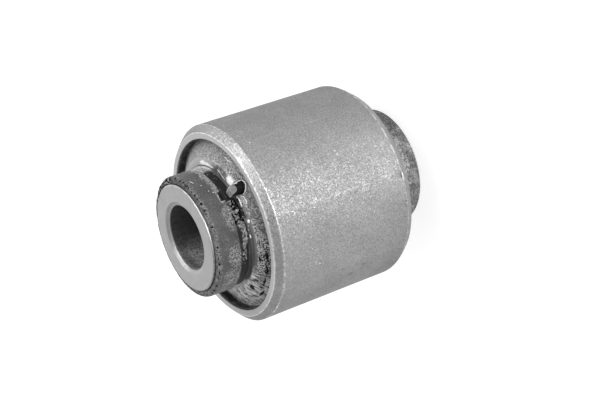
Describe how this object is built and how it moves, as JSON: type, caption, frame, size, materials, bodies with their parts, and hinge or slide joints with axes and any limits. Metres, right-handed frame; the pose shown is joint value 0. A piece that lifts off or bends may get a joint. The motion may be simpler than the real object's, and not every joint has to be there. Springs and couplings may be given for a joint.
{
  "type": "rubber metal bush",
  "caption": "Steel outer and inner sleeves joined by moulded rubber: pressed into an arm's eye and clamped by a bolt, it lets the arm swing and soaks up shocks.",
  "frame": {"origin": "on the bore's axis, at mid length of the bush", "axes": "+Z along the bore, towards the end with the broken moulding gate; the gate lies 68 degrees clockwise of +X, seen from +Z"},
  "size_m": [0.0376, 0.0376, 0.0454],
  "materials": {
    "outer_steel": "satin",
    "moulded_rubber": "satin",
    "inner_steel": "satin"
  },
  "bodies": {
    "root": {"outer_sleeve": "outer_steel", "rubber_body": "moulded_rubber", "inner_sleeve": "inner_steel"}
  },
  "joints": []
}
